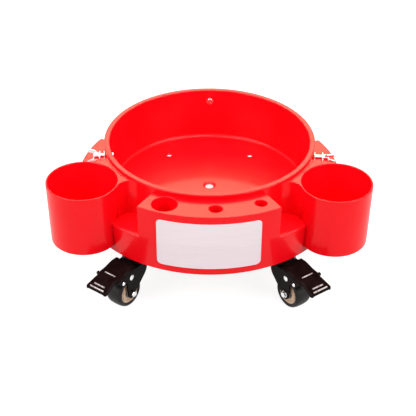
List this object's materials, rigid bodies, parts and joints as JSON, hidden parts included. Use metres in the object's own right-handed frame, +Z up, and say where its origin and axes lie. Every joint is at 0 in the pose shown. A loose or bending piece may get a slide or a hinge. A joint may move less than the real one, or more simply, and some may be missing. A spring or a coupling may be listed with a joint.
{
  "type": "wheeled bucket dolly",
  "caption": "Low round tub on swivel casters that carries a wash bucket, with side cups, a front tool rack, wing-screw clamps and foot brakes.",
  "frame": {"origin": "centre of the tub floor's top face, on the axis of the centre drain hole", "axes": "+Z up, front of the dolly (tool rack and brakes) towards -Y, +X to the right seen from the front"},
  "size_m": [0.4826, 0.4623, 0.1934],
  "materials": {
    "red_plastic": "satin gloss moulded",
    "label_metal": "brushed, bare",
    "bright_steel": "zinc-plated bright",
    "black_steel": "gloss black enamel",
    "black_tread": "smooth satin polyurethane",
    "bronze_hub": "bronze lacquered rim ring, dark centre",
    "bearing_steel": "shielded bearing face"
  },
  "bodies": {
    "root": {"tub": "red_plastic", "base": "red_plastic", "back_pod": "red_plastic", "tool_rack": "red_plastic", "label_plate": "label_metal", "cup_left": "red_plastic", "cup_right": "red_plastic", "neck_left": "red_plastic", "neck_right": "red_plastic", "clamp_inserts": "bright_steel", "caster_mounts": "red_plastic", "caster_screws": "bright_steel", "swivel_balls": "bright_steel", "plate_front_left": "black_steel", "plate_front_right": "black_steel", "plate_side_right": "black_steel", "plate_back": "black_steel", "plate_side_left": "black_steel", "race_front_left": "black_steel", "race_front_right": "black_steel", "race_side_right": "black_steel", "race_back": "black_steel", "race_side_left": "black_steel", "king_pin_front_left": "bright_steel", "king_pin_front_right": "bright_steel", "king_pin_side_right": "bright_steel", "king_pin_back": "bright_steel", "king_pin_side_left": "bright_steel"},
    "fork_front_left": {"fork_front_left": "black_steel", "axle_front_left": "bright_steel", "brake_pin_front_left": "bright_steel"},
    "wheel_front_left": {"tyre_front_left": "black_tread", "hub_front_left": "bronze_hub", "bearings_front_left": "bearing_steel"},
    "brake_front_left": {"brake_pedal_front_left": "black_steel"},
    "fork_front_right": {"fork_front_right": "black_steel", "axle_front_right": "bright_steel", "brake_pin_front_right": "bright_steel"},
    "wheel_front_right": {"tyre_front_right": "black_tread", "hub_front_right": "bronze_hub", "bearings_front_right": "bearing_steel"},
    "brake_front_right": {"brake_pedal_front_right": "black_steel"},
    "fork_side_right": {"fork_side_right": "black_steel", "axle_side_right": "bright_steel"},
    "wheel_side_right": {"tyre_side_right": "black_tread", "hub_side_right": "bronze_hub", "bearings_side_right": "bearing_steel"},
    "fork_back": {"fork_back": "black_steel", "axle_back": "bright_steel"},
    "wheel_back": {"tyre_back": "black_tread", "hub_back": "bronze_hub", "bearings_back": "bearing_steel"},
    "fork_side_left": {"fork_side_left": "black_steel", "axle_side_left": "bright_steel"},
    "wheel_side_left": {"tyre_side_left": "black_tread", "hub_side_left": "bronze_hub", "bearings_side_left": "bearing_steel"},
    "clamp_left": {"clamp_screw_left": "bright_steel"},
    "clamp_right": {"clamp_screw_right": "bright_steel"},
    "clamp_back": {"clamp_screw_back": "bright_steel"}
  },
  "joints": [
    {"name": "swivel_front_left", "type": "hinge", "parent": "root", "child": "fork_front_left", "pos_m": [-0.11143, -0.14263, -0.027], "axis": [0, 0, 1], "continuous": true},
    {"name": "roll_front_left", "type": "hinge", "parent": "fork_front_left", "child": "wheel_front_left", "pos_m": [-0.12889, -0.16579, -0.081], "axis": [0.7986, -0.6018, 0], "continuous": true},
    {"name": "brake_front_left", "type": "hinge", "parent": "fork_front_left", "child": "brake_front_left", "pos_m": [-0.13129, -0.16898, -0.048], "axis": [0.7986, -0.6018, 0], "range_deg": [0, 11]},
    {"name": "swivel_front_right", "type": "hinge", "parent": "root", "child": "fork_front_right", "pos_m": [0.11143, -0.14263, -0.027], "axis": [0, 0, 1], "continuous": true},
    {"name": "roll_front_right", "type": "hinge", "parent": "fork_front_right", "child": "wheel_front_right", "pos_m": [0.12889, -0.16579, -0.081], "axis": [0.7986, 0.6018, 0], "continuous": true},
    {"name": "brake_front_right", "type": "hinge", "parent": "fork_front_right", "child": "brake_front_right", "pos_m": [0.13129, -0.16898, -0.048], "axis": [0.7986, 0.6018, 0], "range_deg": [0, 11]},
    {"name": "swivel_side_right", "type": "hinge", "parent": "root", "child": "fork_side_right", "pos_m": [0.17214, 0.05593, -0.027], "axis": [0, 0, 1], "continuous": true},
    {"name": "roll_side_right", "type": "hinge", "parent": "fork_side_right", "child": "wheel_side_right", "pos_m": [0.19972, 0.06489, -0.081], "axis": [-0.309, 0.9511, 0], "continuous": true},
    {"name": "swivel_back", "type": "hinge", "parent": "root", "child": "fork_back", "pos_m": [0, 0.181, -0.027], "axis": [0, 0, 1], "continuous": true},
    {"name": "roll_back", "type": "hinge", "parent": "fork_back", "child": "wheel_back", "pos_m": [0, 0.21, -0.081], "axis": [-1, 0, 0], "continuous": true},
    {"name": "swivel_side_left", "type": "hinge", "parent": "root", "child": "fork_side_left", "pos_m": [-0.17214, 0.05593, -0.027], "axis": [0, 0, 1], "continuous": true},
    {"name": "roll_side_left", "type": "hinge", "parent": "fork_side_left", "child": "wheel_side_left", "pos_m": [-0.19972, 0.06489, -0.081], "axis": [-0.309, -0.9511, 0], "continuous": true},
    {"name": "clamp_left", "type": "slide", "parent": "root", "child": "clamp_left", "axis": [0.9914, 0.1305, 0], "range_m": [-0.009, 0.0045]},
    {"name": "clamp_right", "type": "slide", "parent": "root", "child": "clamp_right", "axis": [-0.9914, 0.1305, 0], "range_m": [-0.004, 0.0095]},
    {"name": "clamp_back", "type": "slide", "parent": "root", "child": "clamp_back", "axis": [0, -1, 0], "range_m": [-0.004, 0.0095]}
  ]
}
